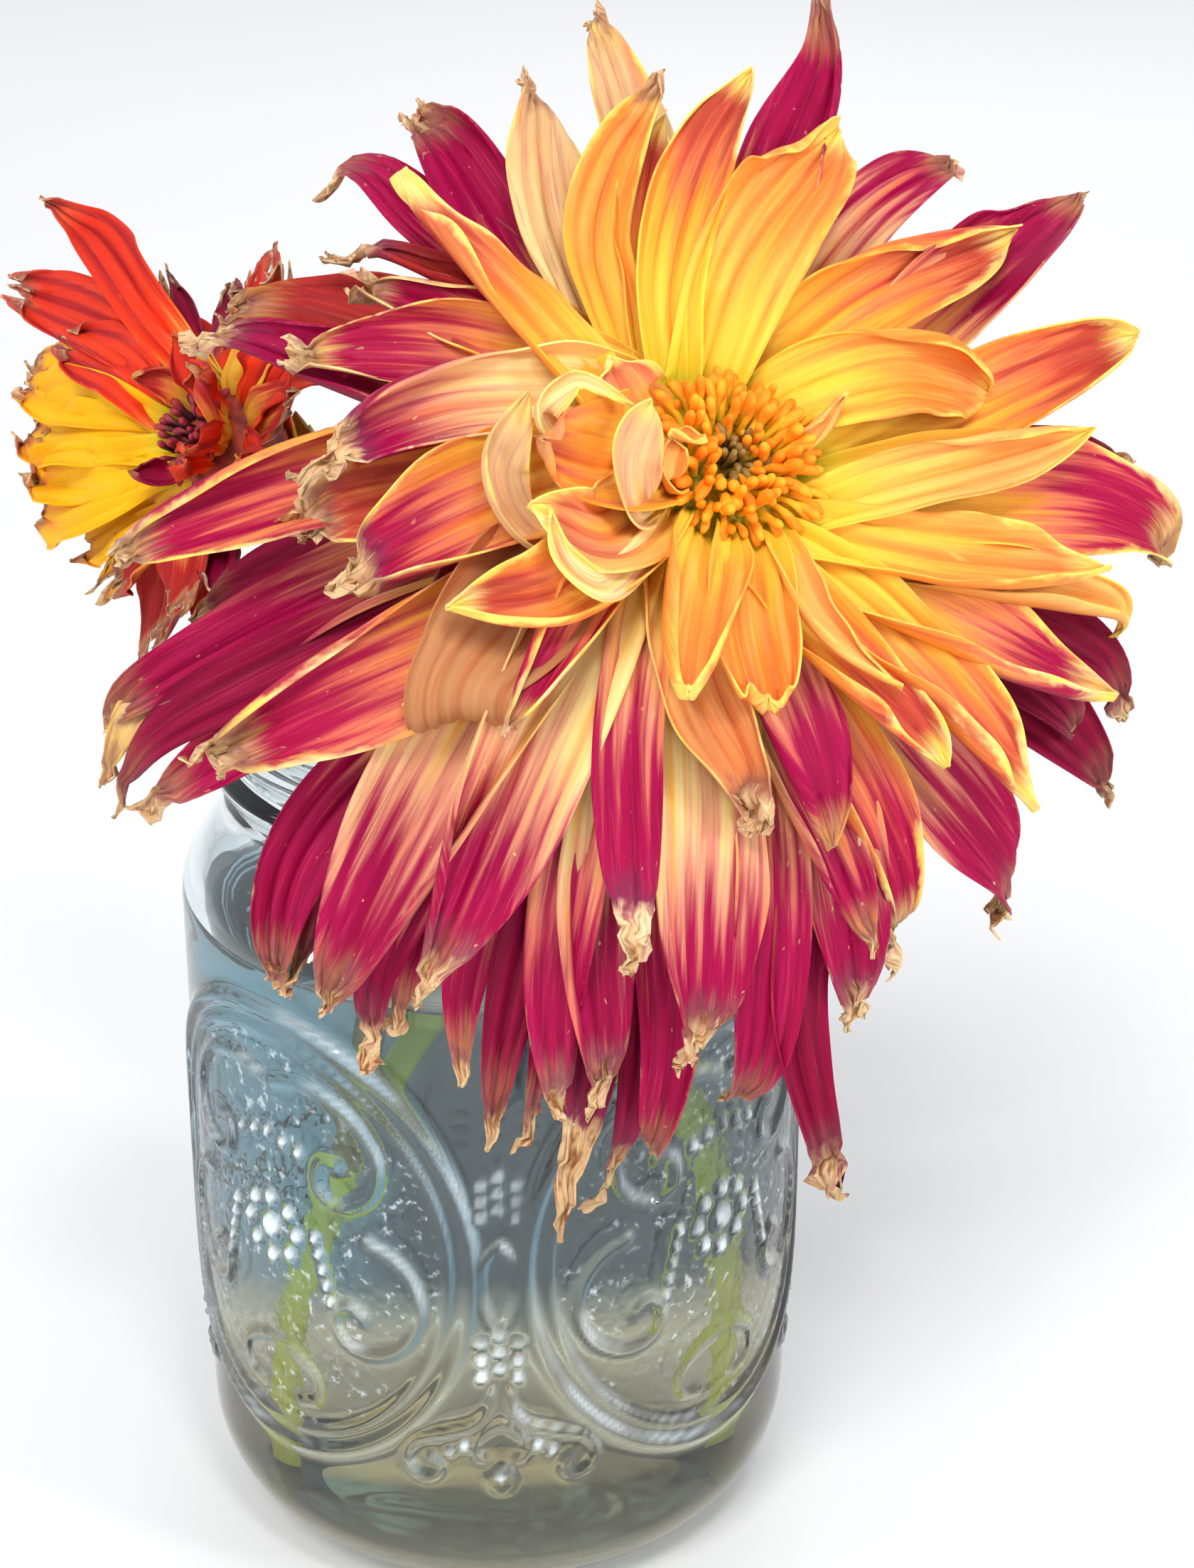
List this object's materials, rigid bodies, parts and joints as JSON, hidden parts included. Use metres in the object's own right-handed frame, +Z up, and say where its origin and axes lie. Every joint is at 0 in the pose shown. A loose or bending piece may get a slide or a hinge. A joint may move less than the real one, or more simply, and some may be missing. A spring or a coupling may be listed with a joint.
{
  "type": "dahlias in a jar",
  "caption": "Open orange-and-magenta dahlia with a smaller red dahlia behind it, cut and standing in water in an embossed glass preserving jar.",
  "frame": {"origin": "middle of the jar's flat base, where it rests", "axes": "+Z up along the jar's axis, -Y to the front that the picture shows, +X to its right"},
  "size_m": [0.157, 0.1253, 0.1997],
  "materials": {
    "glass": "clear pressed glass with a faint blue-grey tint",
    "water": "clear still water, slightly grey-green",
    "petal_orange": "matt petal, yellow root, orange middle and magenta end",
    "floret_orange": "matt orange-yellow florets",
    "petal_red": "matt red and orange petal",
    "heart_maroon": "matt dark red centre",
    "stem_green": "satin fresh green plant stem"
  },
  "bodies": {
    "root": {"jar": "glass", "water": "water", "front_dahlia_petals": "petal_orange", "front_dahlia_florets": "floret_orange", "front_dahlia_stem": "stem_green", "rear_dahlia_petals": "petal_red", "rear_dahlia_heart": "heart_maroon", "rear_dahlia_stem": "stem_green"}
  },
  "joints": []
}
